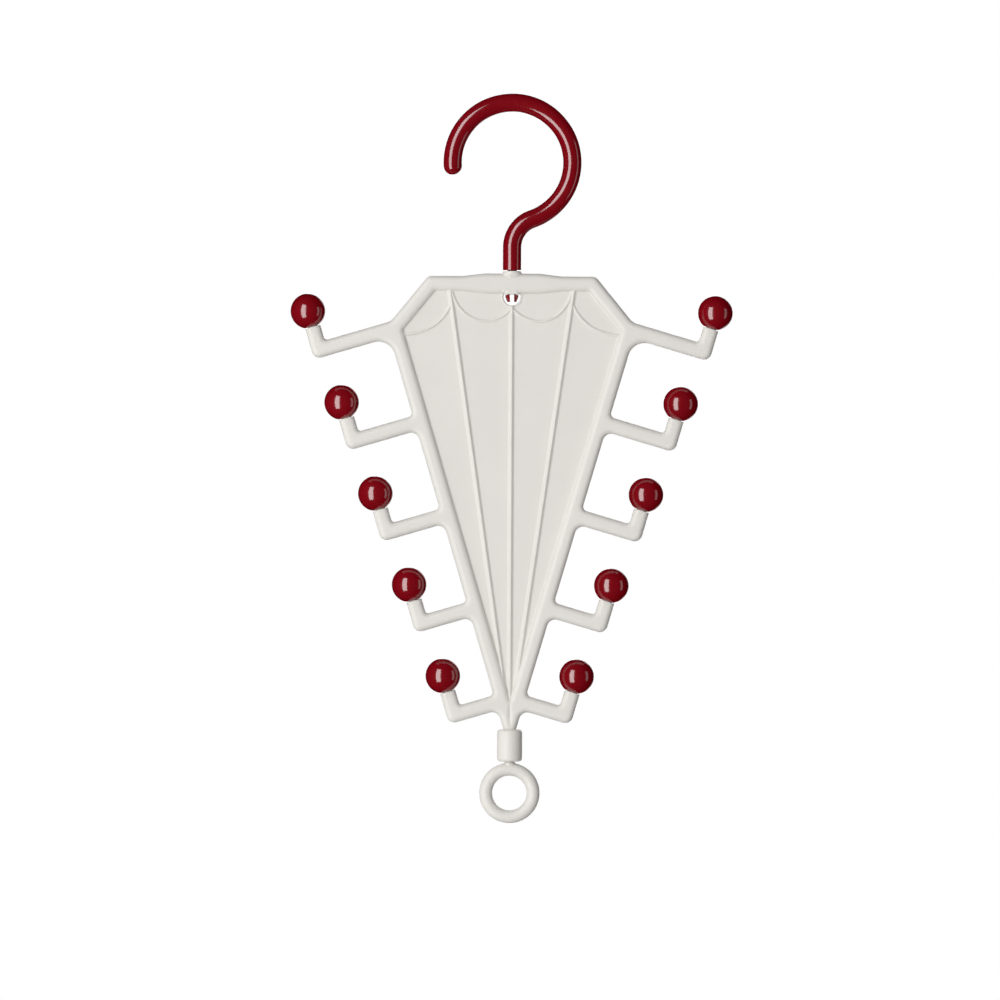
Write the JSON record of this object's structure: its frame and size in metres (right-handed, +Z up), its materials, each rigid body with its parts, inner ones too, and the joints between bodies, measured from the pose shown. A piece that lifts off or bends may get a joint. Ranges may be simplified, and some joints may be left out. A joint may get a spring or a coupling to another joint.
{
  "type": "rotating clothes hanger",
  "caption": "Flat umbrella-shaped hanger with a swivelling round hook, bent side arms ending in ball caps, and a turning link ring below.",
  "frame": {"origin": "the inner crown of the hook, where it rests on a rail; it lies on the swivel axis", "axes": "+Z up along the swivel axis, +X to the right seen from the front, and the front faces -Y"},
  "size_m": [0.182, 0.0142, 0.2999],
  "materials": {
    "wine_red_plastic": "glossy wine-red moulded plastic",
    "ivory_plastic": "satin warm-white moulded plastic"
  },
  "bodies": {
    "hook": {"swivel_hook": "wine_red_plastic"},
    "umbrella": {"umbrella_body": "ivory_plastic", "ball_cap_left_1": "wine_red_plastic", "ball_cap_left_2": "wine_red_plastic", "ball_cap_left_3": "wine_red_plastic", "ball_cap_left_4": "wine_red_plastic", "ball_cap_left_5": "wine_red_plastic", "ball_cap_right_1": "wine_red_plastic", "ball_cap_right_2": "wine_red_plastic", "ball_cap_right_3": "wine_red_plastic", "ball_cap_right_4": "wine_red_plastic", "ball_cap_right_5": "wine_red_plastic"},
    "ring": {"link_ring": "ivory_plastic"}
  },
  "joints": [
    {"name": "hook_swivel", "type": "hinge", "parent": "hook", "child": "umbrella", "pos_m": [0, 0, -0.06541], "axis": [0, 0, 1], "continuous": true},
    {"name": "ring_swivel", "type": "hinge", "parent": "umbrella", "child": "ring", "pos_m": [0, 0, -0.26701], "axis": [0, 0, 1], "continuous": true}
  ]
}
